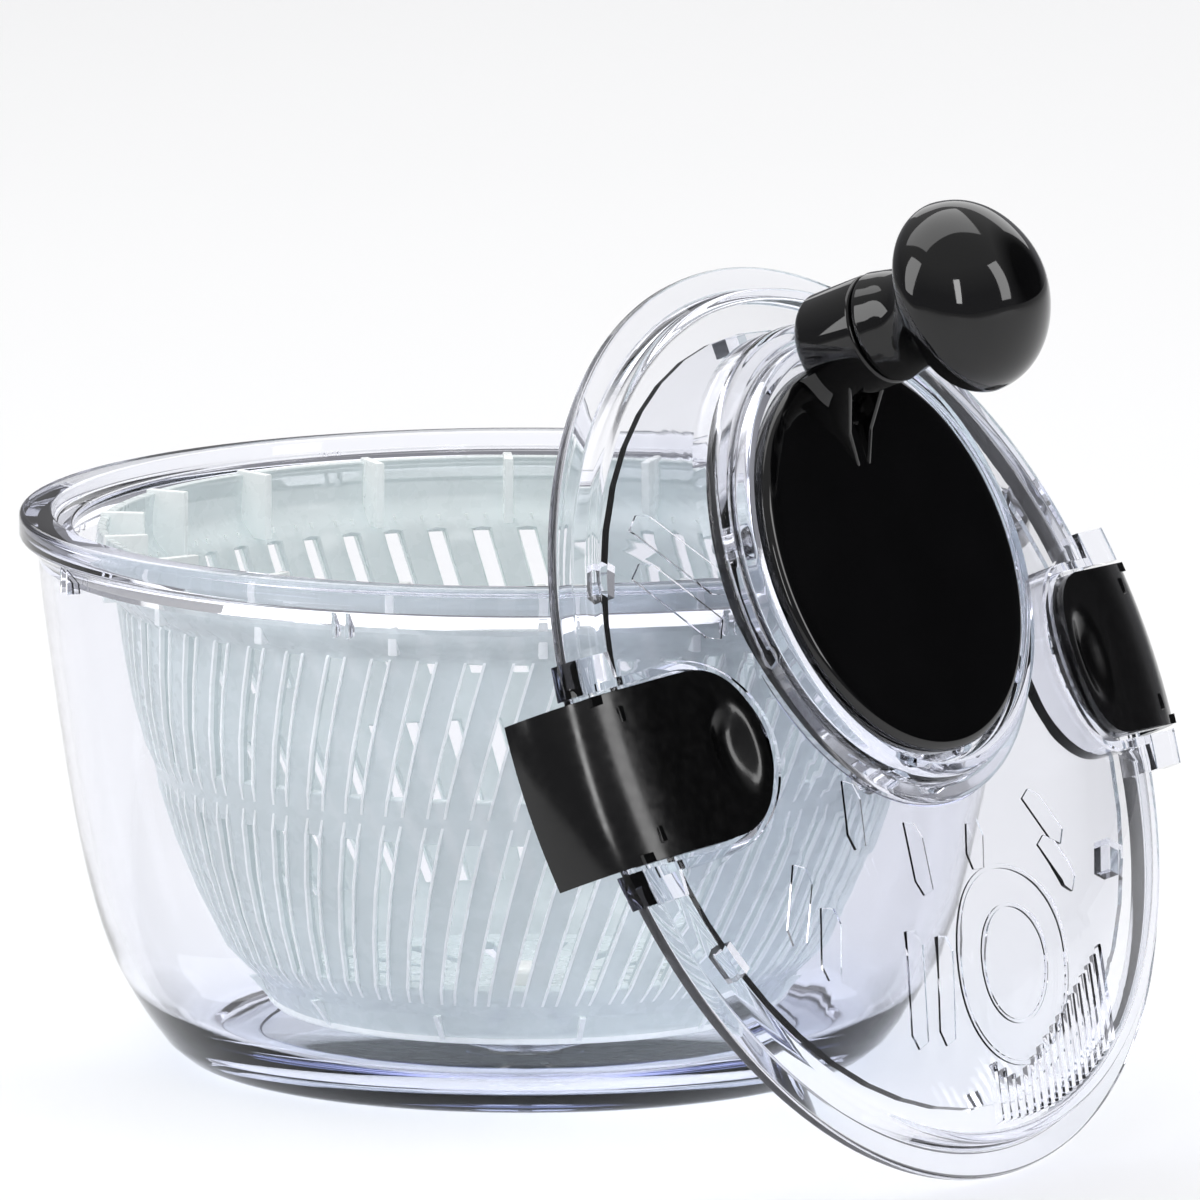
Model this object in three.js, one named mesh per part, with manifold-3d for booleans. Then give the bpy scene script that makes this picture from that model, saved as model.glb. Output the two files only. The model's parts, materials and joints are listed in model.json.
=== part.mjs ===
// Salad spinner: clear bowl, slotted basket and a geared lid that leans on the bowl.
// Units are millimetres, +Z is up. The origin is on the bowl's axis at table level.
// The lid and everything on it are built in the lid's own frame (X across the latches,
// Y up the lid, Z out of its top face, zero at the rim's seating plane) and then leaned.
import * as THREE from 'three';
import { mergeVertices } from 'three/addons/utils/BufferGeometryUtils.js';
import Module from 'manifold-3d';

const wasm = await Module();
wasm.setup();

// ---------------------------------------------------------------- driving dimensions
const fitGap = 0.3;            // between pieces that touch
const runGap = 0.3;            // radial running clearance on a pin or bush

const bowlRimRadius = 117;     // outside of the rolled flange
const bowlHeight = 128;
const bowlFootRadius = 78;     // flat part of the underside
const bowlWall = 2.6;
const bowlFloor = 5;
const flangeDepth = 6.6;       // height of the flange's outer face
const ledgeDrop = 3;           // flange top down to the ledge the lid sits on
const ledgeInnerRadius = 104.5;

const footRingInner = 62.3;
const footRingWidth = 9.4;
const footRingHeight = 2.4;

const pivotPinRadius = 1.75;
const pivotPinTop = 17;
const pivotCupRadius = 6;

const basketRimRadius = 98.8;
const basketRimTop = 124.3;
const basketFloorRadius = 59.5;
const basketFloorZ = 13.7;     // underside
const basketWall = 2.2;
const slotCount = 54;
const upperSlotLow = 74;
const upperSlotHigh = 107;
const lowerSlotLow = 27;
const lowerSlotHigh = 63.5;
const upperSlotWidth = 4.2;
const lowerSlotWidth = 3.4;
const slotTwistRate = 0.0031;  // radians of lean per mm of height
const floorSlotCount = 18;
const driveFinCount = 18;      // fins inside the basket rim
const driveFinReach = 89;      // radius the fins come in to

const lidRadius = 107.5;
const lidSkin = 2.2;
const lidStepRadius = 100.6;   // where the rim steps up to the dome
const lidStepHeight = 8.4;
const domeTopRadius = 57;
const domeTopHeight = 19.1;

const gearModule = 1.2;
const crankGearTeeth = 42;
const pinionTeeth = 12;
const gearWidth = 6.1;
const gearBottom = 9.5;

const discRadius = 46;
const discTop = 26.4;
const discEdge = 5;
const hubRadius = 7.2;
const wellFloorLow = 16.4;
const wellRadius = 57;
const wellGap = 2.3;           // round the disc

const collarRadius = 12.9;
const collarSetback = 2.6;     // collar axis outside the disc edge
const collarLow = 25.5;
const knobJoint = 42.3;        // top of the collar
const knobHeight = 42;
const knobHeadRadius = 22.6;
const knobPinRadius = 3.2;

const latchWidth = 39;
const latchInner = 64;         // radius of the finger end
const latchOuter = 119.8;      // outside of the skirt
const latchHookLow = -8.2;
const latchPinRadius = 1.3;
const latchPinAt = [101, 6.6]; // radius, height of the hinge
const latchSideRoom = 1;       // pocket wall to latch
const latchEndRoom = 1.8;      // further room at the finger end
const pocketSkin = 2;
const shoulderWidth = 9;       // clear shoulder beside each latch
const shoulderReach = 114.5;   // radius of the shoulder's outer face
const planReach = 130;         // past everything on the lid
const lidFacets = 48;

const drivePlateRadius = 91.5;
const drivePlateLow = 1.5;
const drivePlateThick = 2;
const lugDepth = 4;
const lugCount = 6;

const drainSlotCount = 17;
const drainSlotPitch = 3.3;

const leanAzimuth = -33.9;     // degrees, direction the lid faces
const leanTilt = 22.6;         // degrees, how far the lid faces upward
const leanSide = -63;          // lid centre along its own horizontal
const leanGap = 3;             // lid seating plane to bowl rim

// ---------------------------------------------------------------- derived sizes
const collarOffset = discRadius + collarSetback; // from the crank axis
const gearSpacing = gearModule * (crankGearTeeth + pinionTeeth) / 2;
const wellFloorTop = wellFloorLow + lidSkin;
const gearTop = gearBottom + gearWidth;
const seatZ = bowlHeight - ledgeDrop;
const rad = THREE.MathUtils.degToRad;

// ---------------------------------------------------------------- solid helpers
function bare(geometry) {
  const g = geometry.clone();
  g.deleteAttribute('normal');
  g.deleteAttribute('uv');
  return mergeVertices(g, 1e-4);
}

function signedVolume(g) {
  const p = g.attributes.position;
  const ix = g.index.array;
  const a = new THREE.Vector3();
  const b = new THREE.Vector3();
  const c = new THREE.Vector3();
  let v = 0;
  for (let i = 0; i < ix.length; i += 3) {
    a.fromBufferAttribute(p, ix[i]);
    b.fromBufferAttribute(p, ix[i + 1]);
    c.fromBufferAttribute(p, ix[i + 2]);
    v += a.dot(b.cross(c));
  }
  return v / 6;
}

function solid(geometry) {
  const g = bare(geometry);
  const tris = Uint32Array.from(g.index.array);
  if (signedVolume(g) < 0) {
    for (let i = 0; i < tris.length; i += 3) {
      [tris[i + 1], tris[i + 2]] = [tris[i + 2], tris[i + 1]];
    }
  }
  const mesh = new wasm.Mesh({
    numProp: 3,
    vertProperties: Float32Array.from(g.attributes.position.array),
    triVerts: tris,
  });
  mesh.merge();
  return new wasm.Manifold(mesh);
}

function union(...list) {
  return list.reduce((a, b) => a.add(b));
}

function cut(body, ...tools) {
  return body.subtract(union(...tools));
}

function toGeometry(body) {
  const mesh = body.getMesh();
  const g = new THREE.BufferGeometry();
  g.setAttribute('position', new THREE.BufferAttribute(mesh.vertProperties, 3));
  g.setIndex(new THREE.BufferAttribute(mesh.triVerts, 1));
  return g;
}

// Closed profile of [radius, height] pairs turned about Z.
function turned(profile, segments) {
  const points = profile.map(([r, h]) => new THREE.Vector2(Math.max(r, 0), h));
  const closed = profile[0][0] > 0 || profile[profile.length - 1][0] > 0;
  if (closed) points.push(points[0].clone());
  return new THREE.LatheGeometry(points, segments).rotateX(Math.PI / 2);
}

function ring(inner, outer, low, high, segments) {
  return turned([[inner, low], [outer, low], [outer, high], [inner, high]], segments);
}

function rod(radius, low, high, segments) {
  return turned([[0, low], [radius, low], [radius, high], [0, high]], segments);
}

function block(x0, x1, y0, y1, z0, z1) {
  const g = new THREE.BoxGeometry(x1 - x0, y1 - y0, z1 - z0);
  return g.translate((x0 + x1) / 2, (y0 + y1) / 2, (z0 + z1) / 2);
}

function prism(shape, low, high, curveSegments = 16) {
  const options = { depth: high - low, bevelEnabled: false, curveSegments };
  return new THREE.ExtrudeGeometry(shape, options).translate(0, 0, low);
}

// ---------------------------------------------------------------- materials
function plastic(color, roughness) {
  return new THREE.MeshStandardMaterial({ color, roughness, metalness: 0 });
}

function metal(color, roughness) {
  return new THREE.MeshStandardMaterial({ color, roughness, metalness: 1 });
}

const clearPlastic = () => plastic(0xe6eaf2, 0.06);
const milkyPlastic = () => plastic(0xdfe5e3, 0.3);
const glossBlack = () => plastic(0x080808, 0.08);
const satinBlack = () => plastic(0x131314, 0.35);
const whiteAcetal = () => plastic(0xf0f0ec, 0.35);
const softRing = () => plastic(0xd9dae4, 0.6);
const steel = () => metal(0xb9bcc0, 0.3);

const spinner = new THREE.Group();
spinner.name = 'salad_spinner';

function piece(name, body, material, place) {
  const g = toGeometry(body);
  if (place) g.applyMatrix4(place);
  g.computeVertexNormals();
  const mesh = new THREE.Mesh(g, material);
  mesh.name = name;
  spinner.add(mesh);
}

// ---------------------------------------------------------------- bowl
function bowl() {
  const flangeLow = bowlHeight - flangeDepth;
  const footGroove = footRingHeight + fitGap;
  const outside = [
    [0, 0],
    [footRingInner - fitGap, 0],
    [footRingInner - fitGap, footGroove],
    [footRingInner + footRingWidth + fitGap, footGroove],
    [footRingInner + footRingWidth + fitGap, 0],
    [bowlFootRadius, 0],
    [83.5, 4.6],
    [89.5, 13],
    [95.8, 24.6],
    [101, 41],
    [105.9, 66],
    [111.2, 104],
    [112.8, flangeLow - 3],
    [115.4, flangeLow - 0.3],
    [bowlRimRadius, flangeLow + 1],
    [bowlRimRadius, bowlHeight - 1.4],
    [bowlRimRadius - 1.4, bowlHeight],
  ];
  const lip = [
    [109, bowlHeight],
    [108.4, seatZ],
    [ledgeInnerRadius, seatZ],
    [ledgeInnerRadius, seatZ - 2.4],
    [110, 116],
  ];
  const inside = [
    [111.2 - bowlWall, 104],
    [105.9 - bowlWall, 66],
    [101 - bowlWall, 42],
    [93.2, 26.4],
    [86.8, 15],
    [78.5, 7.6],
    [68, bowlFloor],
    [14, bowlFloor],
    [8, 8.6],
    [5, 9.6],
    [pivotPinRadius + fitGap, 9.6],
    [pivotPinRadius + fitGap, 4],
    [0, 4],
  ];
  let body = solid(turned([...outside, ...lip, ...inside], 48));
  const ribs = [];
  for (let i = 0; i < 8; i++) {
    for (const side of [-1.6, 1.6]) {
      const rib = block(111, 115.4, side - 0.5, side + 0.5, flangeLow - 5, flangeLow + 1);
      ribs.push(solid(rib.rotateZ(rad(24 + 45 * i))));
    }
  }
  body = union(body, ...ribs);
  piece('bowl', body, clearPlastic());
}

function footRing() {
  const g = ring(footRingInner, footRingInner + footRingWidth, 0, footRingHeight, 36);
  piece('foot_ring', solid(g), softRing());
}

function pivotPin() {
  const r = pivotPinRadius;
  const profile = [[0, 4.3], [r, 4.3], [r, pivotPinTop - 1], [r * 0.6, pivotPinTop - 0.3], [0, pivotPinTop]];
  piece('pivot_pin', solid(turned(profile, 20)), steel());
}

// ---------------------------------------------------------------- basket
// Matching outside and inside points of the wall, from the hub hole to the rim:
// outer radius, outer height, inner radius, inner height.
function basketRows() {
  const hub = pivotCupRadius + fitGap;
  const floorTop = basketFloorZ + basketWall;
  const w = basketWall;
  return [
    [hub, basketFloorZ, hub, floorTop],
    [basketFloorRadius, basketFloorZ, basketFloorRadius - w, floorTop],
    [62.6, 19, 60.4, 20.8],
    [69.4, lowerSlotLow, 69.4 - w, lowerSlotLow + 0.8],
    [78.3, 46, 78.3 - w, 46.6],
    [84.2, lowerSlotHigh, 84.2 - w, lowerSlotHigh + 0.5],
    [87.3, upperSlotLow, 87.3 - w, upperSlotLow + 0.4],
    [91.2, 89, 91.2 - w, 89.3],
    [93.9, upperSlotHigh, 93.9 - w, upperSlotHigh + 1],
    [97.4, 110.6, 97.4 - w, 112.4],
    [99.6, 115, 99.6 - w, 116],
    [basketRimRadius, basketRimTop, basketRimRadius - w, basketRimTop],
  ];
}

// The wall turned in leaning columns, a slot column and a slat column in turn. A slot
// column has no skin between the rows of a slot, and side walls close the slot there.
function slottedWall() {
  const rows = basketRows();
  const columns = slotCount * 2;
  const points = [];
  for (const [ro, zo, ri, zi] of rows) {
    for (const [r, z] of [[ro, zo], [ri, zi]]) {
      const width = z > (lowerSlotHigh + upperSlotLow) / 2 ? upperSlotWidth : lowerSlotWidth;
      for (let c = 0; c < columns; c++) {
        const inSlot = c % 2 === 0 ? -0.5 : 0.5;
        const share = Math.min(width / ro, Math.PI / slotCount * 1.2);
        const a = Math.floor(c / 2) * 2 * Math.PI / slotCount + inSlot * share
          + slotTwistRate * (zo - basketFloorZ);
        points.push(r * Math.cos(a), r * Math.sin(a), z);
      }
    }
  }
  const at = (row, skin, c) => (row * 2 + skin) * columns + c % columns;
  const index = [];
  const quad = (a, b, c, d) => index.push(a, b, c, a, c, d);
  const isSlot = (row) => row === 3 || row === 4 || row === 6 || row === 7;
  const last = rows.length - 1;
  for (let c = 0; c < columns; c++) {
    const n = c + 1;
    quad(at(0, 0, c), at(0, 1, c), at(0, 1, n), at(0, 0, n));
    quad(at(last, 0, c), at(last, 0, n), at(last, 1, n), at(last, 1, c));
    for (let row = 0; row < last; row++) {
      const open = c % 2 === 0 && isSlot(row);
      if (!open) {
        quad(at(row, 0, c), at(row, 0, n), at(row + 1, 0, n), at(row + 1, 0, c));
        quad(at(row, 1, c), at(row + 1, 1, c), at(row + 1, 1, n), at(row, 1, n));
        continue;
      }
      quad(at(row, 0, c), at(row, 1, c), at(row + 1, 1, c), at(row + 1, 0, c));
      quad(at(row, 0, n), at(row + 1, 0, n), at(row + 1, 1, n), at(row, 1, n));
      if (!isSlot(row - 1)) quad(at(row, 0, c), at(row, 0, n), at(row, 1, n), at(row, 1, c));
      if (!isSlot(row + 1)) {
        quad(at(row + 1, 0, n), at(row + 1, 0, c), at(row + 1, 1, c), at(row + 1, 1, n));
      }
    }
  }
  const g = new THREE.BufferGeometry();
  g.setAttribute('position', new THREE.Float32BufferAttribute(points, 3));
  g.setIndex(index);
  return g;
}

function basket() {
  const floorCuts = [];
  for (let i = 0; i < floorSlotCount; i++) {
    const g = block(24, 52, -1.6, 1.6, basketFloorZ - 1, basketFloorZ + basketWall + 1);
    floorCuts.push(solid(g.rotateZ(i * 2 * Math.PI / floorSlotCount)));
  }
  const fins = [];
  for (let i = 0; i < driveFinCount; i++) {
    const g = block(driveFinReach, 97.6, -0.8, 0.8, 113.4, basketRimTop - 0.3);
    fins.push(solid(g.rotateZ(rad(2.6 - 90 + i * 360 / driveFinCount))));
  }
  piece('basket', union(cut(solid(slottedWall()), ...floorCuts), ...fins), milkyPlastic());
}

function pivotCup() {
  const bore = pivotPinRadius + runGap;
  const flange = basketFloorZ - fitGap;
  const profile = [
    [bore, 12],
    [8.6, 12],
    [8.6, flange],
    [pivotCupRadius, flange],
    [pivotCupRadius, 19],
    [5, 20],
    [0, 20],
    [0, pivotPinTop + fitGap],
    [bore, pivotPinTop + fitGap],
  ];
  const points = [profile[7], profile[8], ...profile.slice(0, 7)];
  piece('pivot_cup', solid(turned(points, 20)), whiteAcetal());
}

// ---------------------------------------------------------------- the lid's frame
function lidPlace() {
  const az = rad(leanAzimuth);
  const tilt = rad(leanTilt);
  const out = new THREE.Vector3(Math.cos(tilt) * Math.cos(az), Math.cos(tilt) * Math.sin(az), Math.sin(tilt));
  const across = new THREE.Vector3(-Math.sin(az), Math.cos(az), 0);
  const up = new THREE.Vector3().crossVectors(out, across);
  const height = lidRadius * Math.cos(tilt);
  const distance = bowlRimRadius * Math.cos(tilt) + bowlHeight * Math.sin(tilt) + leanGap;
  const run = (distance - height * Math.sin(tilt)) / Math.cos(tilt);
  const centre = new THREE.Vector3(run * Math.cos(az), run * Math.sin(az), height);
  centre.addScaledVector(across, leanSide);
  return new THREE.Matrix4().makeBasis(across, up, out).setPosition(centre);
}

const onLid = lidPlace();
const turnedOnLid = onLid.clone().multiply(new THREE.Matrix4().makeRotationZ(Math.PI));
const atCrank = onLid.clone().multiply(new THREE.Matrix4().makeTranslation(0, gearSpacing, 0));
const atKnob = atCrank.clone().multiply(new THREE.Matrix4().makeTranslation(0, collarOffset, 0));

function domeHeight(r) {
  const slope = (domeTopHeight - lidStepHeight) / (lidStepRadius - domeTopRadius);
  return domeTopHeight - slope * (Math.max(r, domeTopRadius) - domeTopRadius);
}

// Plan outline of a latch, or of the pocket round it when grown. The pocket has more room
// at the finger end, which swings inward as the latch tilts.
function latchPlan(grow, endRoom = 0) {
  const half = latchWidth / 2 + grow;
  const arcCentre = latchInner - grow - endRoom + half;
  const shape = new THREE.Shape();
  shape.moveTo(planReach, -half);
  shape.lineTo(planReach, half);
  shape.lineTo(arcCentre, half);
  shape.absarc(arcCentre, 0, half, Math.PI / 2, Math.PI * 1.5, false);
  shape.lineTo(planReach, -half);
  return shape;
}

const coverScrewSpots = [[-13.5, -13], [13.5, -13], [-34.5, 45], [34.5, 45]];

// ---------------------------------------------------------------- lid shell
// A latch sits in a pocket: a tub joined to the dome, with its hollow cut out. Outside the
// dome the tub widens into a shoulder on each side of the latch.
function lidPocket() {
  const shelf = 3.4;
  const end = latchInner - 5;
  const floorTop = [[end, 8.4], [92, 5.9], [97, shelf]];
  const dome = [[100, domeHeight(100) + 1.2], [end, domeHeight(end) + 0.8]];
  const tubOutline = [
    ...floorTop.map(([r, h]) => [r, h - pocketSkin]),
    [lidStepRadius - 0.4, 1.2],
    [lidStepRadius + 0.4, shelf],
    [shoulderReach, shelf],
    [shoulderReach, 6.6],
    [shoulderReach - 3, 9.2],
    ...dome,
  ];
  const hollowOutline = [...floorTop, [latchOuter + 4, shelf], [latchOuter + 4, 30], [end, 30]];
  const tubPlan = solid(prism(latchPlan(latchSideRoom + pocketSkin, latchEndRoom), -5, 30));
  const halfShoulder = latchWidth / 2 + shoulderWidth;
  const shoulderPlan = solid(block(lidStepRadius - 4, planReach, -halfShoulder, halfShoulder, -5, 30));
  const tub = solid(turned(tubOutline, lidFacets)).intersect(union(tubPlan, shoulderPlan));
  const hollowPlan = solid(prism(latchPlan(latchSideRoom, latchEndRoom), -5, 40));
  return { tub, hollow: solid(turned(hollowOutline, lidFacets)).intersect(hollowPlan) };
}

function lidShell() {
  const under = domeTopHeight - lidSkin;
  const dome = solid(turned([
    [0, under],
    [domeTopRadius, under],
    [98.2, lidStepHeight - 1.8],
    [98.6, 4],
    [98.6, 0],
    [lidRadius, 0],
    [lidRadius, 2],
    [lidRadius - 0.7, 2.6],
    [lidStepRadius + 1.2, 2.6],
    [lidStepRadius + 0.6, 3.2],
    [lidStepRadius, lidStepHeight - 0.8],
    [lidStepRadius - 0.8, lidStepHeight],
    [domeTopRadius, domeTopHeight],
    [0, domeTopHeight],
  ], lidFacets));
  const inDome = solid(turned([
    [0, -20],
    [98.4, -20],
    [98.2, lidStepHeight - 1.8],
    [domeTopRadius, under],
    [0, under],
  ], lidFacets));
  const atWell = (g) => g.translate(0, gearSpacing, 0);
  const lipIn = discRadius + wellGap;
  const bushHole = hubRadius + runGap + 1.8 + fitGap;
  const wellTub = solid(atWell(turned([
    [bushHole, wellFloorLow],
    [wellRadius, wellFloorLow],
    [wellRadius, 19.4],
    [wellRadius - 1.2, 20.4],
    [lipIn + 3.6, 20.9],
    [lipIn + 2.9, 24],
    [lipIn + 2.1, 24.8],
    [lipIn + 0.8, 24.8],
    [lipIn, 24],
    [lipIn, wellFloorTop],
    [bushHole, wellFloorTop],
  ], 40)));
  const drum = cut(solid(atWell(ring(wellRadius - lidSkin, wellRadius, 4, wellFloorLow + 1, 40))), inDome);
  const wellHole = solid(atWell(rod(wellRadius - 0.8, -10, 40, 40)));
  let body = union(cut(dome, wellHole), wellTub, drum);
  body = union(body, solid(rod(5, wellFloorTop - 0.5, 20.4, 24)));
  for (const [x, y] of coverScrewSpots) {
    body = union(body, solid(rod(3.5, 9.4, wellFloorLow + 0.5, 20).translate(x, y, 0)));
  }
  const pocket = lidPocket();
  const turn = (m) => m.rotate([0, 0, 180]);
  body = union(body, pocket.tub, turn(pocket.tub));
  body = cut(body, pocket.hollow, turn(pocket.hollow));
  const ear = union(
    solid(block(latchPinAt[0] - 2.6, latchPinAt[0] + 2.6, 8, 11, 2.6, latchPinAt[1] + 0.4)),
    solid(rod(2.6, -1.5, 1.5, 24).rotateX(Math.PI / 2).translate(latchPinAt[0], 9.5, latchPinAt[1])),
  );
  const earLow = ear.mirror([0, 1, 0]);
  body = union(body, ear, earLow, turn(ear), turn(earLow));
  const bores = [];
  bores.push(solid(rod(2.8, 10, 19.4, 20)));
  for (const [x, y] of coverScrewSpots) bores.push(solid(rod(1.6, 5, 14.6, 12).translate(x, y, 0)));
  for (const x of [-1, 1]) {
    const g = rod(latchPinRadius + fitGap, -20, 20, 16).rotateX(Math.PI / 2);
    bores.push(solid(g.translate(x * latchPinAt[0], 0, latchPinAt[1])));
  }
  for (let i = 0; i < drainSlotCount; i++) {
    const u = -8 + i * drainSlotPitch;
    const low = -Math.sqrt(96.5 ** 2 - u ** 2);
    const high = -88 + 0.55 * Math.abs(u - 1);
    bores.push(solid(block(u - 0.8, u + 0.8, low, Math.max(high, low + 5), 3, 15)));
  }
  piece('lid_shell', cut(body, ...bores), clearPlastic(), onLid);
}

// ---------------------------------------------------------------- gearbox under the lid
function boxPlan(grow) {
  const big = gearModule * crankGearTeeth / 2 + 3.2 + grow;
  const small = gearModule * pinionTeeth / 2 + 3.2 + grow;
  const lean = Math.asin((big - small) / gearSpacing);
  const shape = new THREE.Shape();
  shape.absarc(0, gearSpacing, big, -lean, Math.PI + lean, false);
  shape.absarc(0, 0, small, Math.PI + lean, 2 * Math.PI - lean, false);
  shape.closePath();
  return shape;
}

function gearCover() {
  const inner = solid(prism(boxPlan(0), 7, 30, 10));
  let body = solid(prism(boxPlan(1.6), 5.2, wellFloorLow - fitGap, 10));
  for (const [x, y] of coverScrewSpots) {
    const toward = Math.atan2(y > 0 ? y - gearSpacing : y, x);
    const arm = block(-7, 0, -3, 3, 6.6, 9.1).rotateZ(toward).translate(x, y, 0);
    body = union(body, solid(rod(4.2, 6.6, 9.1, 20).translate(x, y, 0)), solid(arm));
  }
  const holes = coverScrewSpots.map(([x, y]) => solid(rod(1.6, 0, 12, 12).translate(x, y, 0)));
  piece('gear_cover', cut(body, inner, solid(rod(5.4, 0, 10, 24)), ...holes), clearPlastic(), onLid);
}

function coverScrews() {
  coverScrewSpots.forEach(([x, y], i) => {
    const profile = [[0, 4.3], [2.4, 4.3], [2.9, 4.9], [2.9, 6.3], [1.3, 6.3], [1.3, 14], [0, 14]];
    const g = turned(profile, 12).translate(x, y, 0);
    piece(`cover_screw_${i + 1}`, solid(g), steel(), onLid);
  });
}

function crankBush() {
  const inner = hubRadius + runGap;
  const profile = [
    [inner, 16.6],
    [inner + 1.8, 16.6],
    [inner + 1.8, wellFloorTop + fitGap],
    [inner + 4, wellFloorTop + fitGap],
    [inner + 4, wellFloorTop + fitGap + 1.4],
    [inner, wellFloorTop + fitGap + 1.4],
  ];
  piece('crank_bush', solid(turned(profile, 28)), whiteAcetal(), atCrank);
}

function driveAxle() {
  const profile = [
    [0, -0.6], [2.2, -0.6], [2.5, -0.3], [2.5, 0.1], [1.6, 0.1], [1.6, 0.9],
    [2.5, 0.9], [2.5, 19.1], [0, 19.1],
  ];
  piece('drive_axle', solid(turned(profile, 20)), steel(), onLid);
  piece('drive_clip', solid(ring(1.9, 4.4, 0.25, 0.75, 20)), steel(), onLid);
}

// Trapezoid-toothed spur gear with a round bore.
function gearShape(teeth, bore) {
  const pitch = gearModule * teeth / 2;
  const tip = pitch + gearModule * 0.9;
  const root = pitch - gearModule * 1.2;
  const shape = new THREE.Shape();
  for (let i = 0; i < teeth; i++) {
    const at = 2 * Math.PI * i / teeth;
    const halfRoot = 2 * Math.PI / teeth * 0.29;
    const halfTip = 2 * Math.PI / teeth * 0.13;
    for (const [r, a] of [[root, -halfRoot], [tip, -halfTip], [tip, halfTip], [root, halfRoot]]) {
      const x = r * Math.cos(at + a);
      const y = r * Math.sin(at + a);
      if (i === 0 && a === -halfRoot) shape.moveTo(x, y);
      else shape.lineTo(x, y);
    }
  }
  shape.closePath();
  const hole = new THREE.Path();
  hole.absarc(0, 0, bore, 0, 2 * Math.PI, true);
  shape.holes.push(hole);
  return shape;
}

function pinion() {
  const half = Math.PI / pinionTeeth;
  const g = prism(gearShape(pinionTeeth, 2.8), gearBottom, gearTop, 12);
  const hub = ring(2.8, 4.8, 1.2, gearBottom + 0.5, 24);
  const body = union(solid(g.rotateZ(Math.PI / 2 + half)), solid(hub));
  piece('pinion', body, whiteAcetal(), onLid);
}

function drivePlate() {
  const low = drivePlateLow;
  let body = solid(turned([
    [5.1, low],
    [drivePlateRadius, low],
    [drivePlateRadius, low + drivePlateThick],
    [9, low + drivePlateThick],
    [9, 4.6],
    [5.1, 4.6],
  ], 48));
  for (let i = 0; i < lugCount; i++) {
    const g = block(drivePlateRadius - 4, drivePlateRadius - 0.3, -4, 4, low - lugDepth, low + 0.5);
    body = union(body, solid(g.rotateZ(rad(30 + 60 * i))));
  }
  piece('drive_plate', body, clearPlastic(), onLid);
}

// ---------------------------------------------------------------- crank
function vRib(side) {
  const shape = new THREE.Shape();
  shape.moveTo(0, -2);
  shape.lineTo(26, -2);
  shape.lineTo(0, 9);
  shape.closePath();
  const g = prism(shape, -0.6, 0.6).rotateX(Math.PI / 2);
  g.rotateZ(-Math.PI / 2 - side * 0.29);
  return solid(g.translate(side * 7.6, collarOffset - 8.4, discTop - 0.6));
}

function crankDisc() {
  const edge = discTop - discEdge;
  let body = solid(turned([
    [0, 19.4],
    [4.4, 19.4],
    [4.4, 7.6],
    [hubRadius, 7.6],
    [hubRadius, 8.3],
    [hubRadius - 1, 8.3],
    [hubRadius - 1, 9.2],
    [hubRadius, 9.2],
    [hubRadius, 21.2],
    [9, 22],
    [discRadius - 2.4, 23],
    [discRadius - 1.8, edge],
    [discRadius, edge],
    [discRadius, discTop - 1.9],
    [discRadius - 0.8, discTop - 0.6],
    [discRadius - 2.8, discTop],
    [discRadius - 5, discTop - 0.2],
    [30, discTop - 0.9],
    [0, discTop - 1.2],
  ], 36));
  const collar = turned([
    [0, collarLow],
    [collarRadius - 1.6, collarLow],
    [collarRadius, collarLow + 1.8],
    [collarRadius, knobJoint - 0.7],
    [collarRadius - 0.7, knobJoint],
    [0, knobJoint],
  ], 24);
  body = union(body, solid(collar.translate(0, collarOffset, 0)), vRib(-1), vRib(1));
  const bore = rod(2.3, 29.5, 60, 16).translate(0, collarOffset, 0);
  piece('crank_disc', cut(body, solid(bore)), glossBlack(), atCrank);
}

function crankGear() {
  const g = prism(gearShape(crankGearTeeth, hubRadius + fitGap), gearBottom, gearTop, 12);
  piece('crank_gear', solid(g.rotateZ(-Math.PI / 2)), whiteAcetal(), atCrank);
  piece('gear_clip', solid(ring(hubRadius - 0.7, 9.8, 8.45, 9.05, 24)), steel(), atCrank);
}

// ---------------------------------------------------------------- knob
function knob() {
  const z = (h) => knobJoint + fitGap + h;
  const R = knobHeadRadius;
  const shell = [
    [7.8, z(0)],
    [collarRadius - 0.5, z(0)],
    [collarRadius - 0.2, z(0.6)],
    [collarRadius - 1, z(5)],
    [11.3, z(9)],
    [11.6, z(12)],
    [13.4, z(14.6)],
    [17, z(16.6)],
    [20.8, z(18.4)],
    [R - 0.3, z(20.6)],
    [R, z(23.4)],
    [R - 0.9, z(27)],
    [R - 3.2, z(31.6)],
    [15.4, z(36)],
    [10, z(39.6)],
    [4.6, z(41.5)],
    [0, z(knobHeight)],
    [0, z(22)],
    [7.8, z(22)],
  ];
  const order = [...shell.slice(17), ...shell.slice(0, 17)];
  piece('knob_shell', solid(turned(order, 24)), glossBlack(), atKnob);
  const bore = knobPinRadius + runGap;
  piece('knob_core', solid(ring(bore, 7.5, z(0.3), z(16.4), 28)), satinBlack(), atKnob);
  piece('knob_washer', solid(ring(bore, 6.6, z(16.7), z(17.3), 24)), steel(), atKnob);
  const pin = [
    [0, 30],
    [2, 30],
    [2, z(0)],
    [knobPinRadius, z(0)],
    [knobPinRadius, z(17.6)],
    [5.6, z(17.6)],
    [5.6, z(20)],
    [4.8, z(20.8)],
    [0, z(20.8)],
  ];
  piece('knob_pin', solid(turned(pin, 20)), steel(), atKnob);
}

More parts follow.
